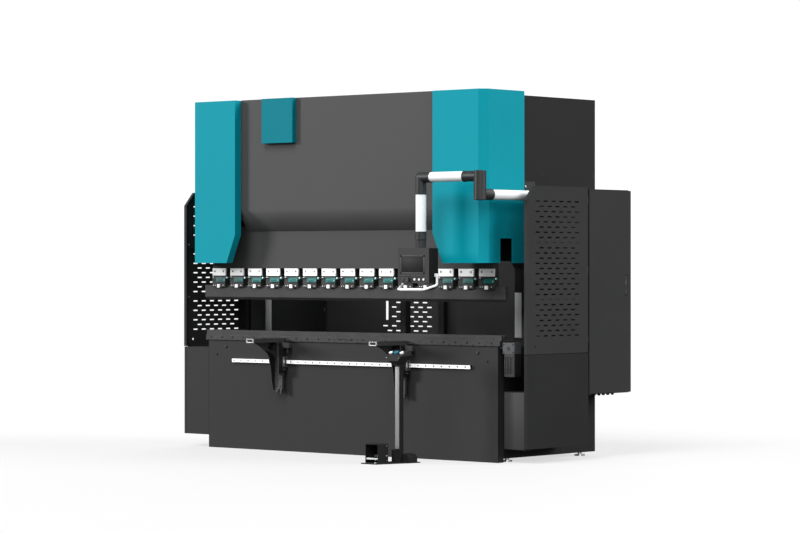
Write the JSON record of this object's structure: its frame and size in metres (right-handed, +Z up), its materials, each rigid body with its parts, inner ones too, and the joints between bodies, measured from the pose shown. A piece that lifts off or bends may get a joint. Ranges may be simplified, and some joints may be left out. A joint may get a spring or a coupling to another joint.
{
  "type": "press brake",
  "caption": "Hydraulic press brake with a moving ram, quick-clamped punch, crowned die table, back gauge, sliding front supports, swivelling console, hinged guards and a foot station.",
  "frame": {"origin": "floor level under the middle of the bend line, on the underside of the bed plate", "axes": "+Z up, +X along the bed to the operator's right, -Y towards the operator"},
  "size_m": [3.674, 2.1, 2.89],
  "materials": {
    "dark_paint": "fine-textured near-black powder coat",
    "grey_paint": "fine-textured dark grey powder coat",
    "charcoal_paint": "fine-textured charcoal grey powder coat",
    "bright_plate": "bright satin nickel plating",
    "teal_paint": "satin teal paint",
    "white_paint": "smooth white paint",
    "ground_steel": "ground steel",
    "blackened_steel": "blackened tool steel",
    "chrome_rod": "hard chrome",
    "zinc_steel": "bright zinc",
    "aluminium": "anodised",
    "cast_grey": "painted casting",
    "black_plastic": "matte black",
    "white_plastic": "glossy white",
    "blue_plastic": "glossy blue",
    "teal_plastic": "glossy teal"
  },
  "bodies": {
    "frame": {"bed_beam": "grey_paint", "crowning_base": "grey_paint", "die_table": "blackened_steel", "lower_die": "blackened_steel", "crowning_gearbox": "cast_grey", "crowning_motor_cover": "black_plastic", "c_frame_right": "dark_paint", "c_frame_left": "dark_paint", "housing_right": "dark_paint", "housing_left": "dark_paint", "levelling_feet": "zinc_steel", "side_cover_right": "dark_paint", "side_cover_left": "dark_paint", "guard_posts": "dark_paint", "front_rail": "bright_plate", "cylinder_cover_right": "teal_paint", "cylinder_cover_left": "teal_paint", "front_panel": "charcoal_paint", "badge_box": "teal_paint", "cylinder_blocks": "cast_grey", "oil_tank": "dark_paint", "pump_motor": "cast_grey", "ram_guides": "ground_steel", "cabinet_shell": "dark_paint", "rear_frame": "dark_paint", "backgauge_rails": "dark_paint", "pendant_bracket": "black_plastic", "pendant_lower_tube": "white_paint"},
    "crowning_wedge": {"crowning_wedge_bar": "ground_steel"},
    "ram": {"ram_beam": "charcoal_paint", "piston_rods": "chrome_rod", "ram_guide_blocks": "ground_steel", "clamp_bodies": "blackened_steel", "clamp_plates": "bright_plate", "upper_punch": "blackened_steel"},
    "clamp_release": {"clamp_levers": "teal_plastic"},
    "side_guard_left": {"side_guard_left": "grey_paint"},
    "side_guard_right": {"side_guard_right": "grey_paint"},
    "rear_door_left": {"rear_door_left": "dark_paint"},
    "rear_door_right": {"rear_door_right": "dark_paint"},
    "cabinet_door": {"cabinet_door": "dark_paint"},
    "cabinet_latch": {"cabinet_latch": "black_plastic"},
    "gauge_carriage": {"backgauge_carriage": "dark_paint"},
    "gauge_beam": {"backgauge_beam": "aluminium"},
    "finger_left": {"gauge_finger_left": "ground_steel"},
    "finger_right": {"gauge_finger_right": "ground_steel"},
    "support_left": {"support_arm_left": "dark_paint"},
    "support_right": {"support_arm_right": "dark_paint"},
    "pendant_arm": {"pendant_elbows": "black_plastic", "pendant_tubes": "white_paint"},
    "console": {"console_housing": "charcoal_paint", "console_handle": "white_paint"},
    "console_estop": {"console_estop": "black_plastic"},
    "console_buttons": {"console_buttons": "white_plastic"},
    "foot_station": {"station_stand": "dark_paint", "station_head": "dark_paint", "pedal_hood": "dark_paint"},
    "pedal": {"pedal_treadle": "aluminium"},
    "station_buttons": {"station_buttons": "white_plastic"},
    "station_button_centre": {"station_button_centre": "blue_plastic"}
  },
  "joints": [
    {"name": "ram_slide", "type": "slide", "parent": "frame", "child": "ram", "axis": [0, 0, -1], "range_m": [0, 0.25]},
    {"name": "clamp_release_flip", "type": "hinge", "parent": "ram", "child": "clamp_release", "pos_m": [0, -0.042, 1.4215], "axis": [-1, 0, 0], "range_deg": [0, 35]},
    {"name": "crowning_wedge_slide", "type": "slide", "parent": "frame", "child": "crowning_wedge", "axis": [1, 0, 0], "range_m": [-0.01, 0.01]},
    {"name": "side_guard_left_hinge", "type": "hinge", "parent": "frame", "child": "side_guard_left", "pos_m": [-1.831, 0.748, 1.5], "axis": [0, 0, -1], "range_deg": [0, 70]},
    {"name": "side_guard_right_hinge", "type": "hinge", "parent": "frame", "child": "side_guard_right", "pos_m": [1.831, 0.748, 1.5], "axis": [0, 0, 1], "range_deg": [0, 70]},
    {"name": "rear_door_left_hinge", "type": "hinge", "parent": "frame", "child": "rear_door_left", "pos_m": [-1.361, 1.205, 1.1], "axis": [0, 0, 1], "range_deg": [0, 100]},
    {"name": "rear_door_right_hinge", "type": "hinge", "parent": "frame", "child": "rear_door_right", "pos_m": [1.361, 1.205, 1.1], "axis": [0, 0, -1], "range_deg": [0, 100]},
    {"name": "cabinet_door_hinge", "type": "hinge", "parent": "frame", "child": "cabinet_door", "pos_m": [1.829, 0.768, 1.3], "axis": [0, 0, -1], "range_deg": [0, 85]},
    {"name": "cabinet_latch_swing", "type": "hinge", "parent": "cabinet_door", "child": "cabinet_latch", "pos_m": [1.831, 1.25, 1.436], "axis": [0, -1, 0], "range_deg": [0, 60]},
    {"name": "gauge_depth_slide", "type": "slide", "parent": "frame", "child": "gauge_carriage", "axis": [0, 1, 0], "range_m": [-0.2, 0.3]},
    {"name": "gauge_height_slide", "type": "slide", "parent": "gauge_carriage", "child": "gauge_beam", "axis": [0, 0, 1], "range_m": [-0.04, 0.25]},
    {"name": "finger_left_slide", "type": "slide", "parent": "gauge_beam", "child": "finger_left", "axis": [1, 0, 0], "range_m": [-0.5, 0.35]},
    {"name": "finger_right_slide", "type": "slide", "parent": "gauge_beam", "child": "finger_right", "axis": [1, 0, 0], "range_m": [-0.35, 0.5]},
    {"name": "support_left_slide", "type": "slide", "parent": "frame", "child": "support_left", "axis": [1, 0, 0], "range_m": [-0.48, 0.55]},
    {"name": "support_right_slide", "type": "slide", "parent": "frame", "child": "support_right", "axis": [1, 0, 0], "range_m": [-0.5, 0.59]},
    {"name": "pendant_swivel", "type": "hinge", "parent": "frame", "child": "pendant_arm", "pos_m": [1.7, -0.443, 2.134], "axis": [0, 0, 1], "range_deg": [0, 100]},
    {"name": "console_swivel", "type": "hinge", "parent": "pendant_arm", "child": "console", "pos_m": [1.116, -0.443, 1.7], "axis": [0, 0, 1], "range_deg": [-90, 90]},
    {"name": "console_estop_press", "type": "slide", "parent": "console", "child": "console_estop", "axis": [0, 1, 0], "range_m": [0, 0.006], "stiffness_N_per_m": 900},
    {"name": "console_buttons_press", "type": "slide", "parent": "console", "child": "console_buttons", "axis": [0, 1, 0], "range_m": [0, 0.004], "stiffness_N_per_m": 900},
    {"name": "foot_station_slide", "type": "slide", "parent": "frame", "child": "foot_station", "axis": [1, 0, 0], "range_m": [-0.6, 0.5]},
    {"name": "pedal_press", "type": "hinge", "parent": "foot_station", "child": "pedal", "pos_m": [0.88, -0.65, 0.06], "axis": [1, 0, 0], "range_deg": [0, 10], "stiffness_Nm_per_rad": 40, "springref_deg": -2.86},
    {"name": "station_buttons_press", "type": "slide", "parent": "foot_station", "child": "station_buttons", "axis": [0, 0.4358, -0.9], "range_m": [0, 0.004], "stiffness_N_per_m": 900},
    {"name": "station_button_centre_press", "type": "slide", "parent": "foot_station", "child": "station_button_centre", "axis": [0, 0.4358, -0.9], "range_m": [0, 0.004], "stiffness_N_per_m": 900}
  ]
}
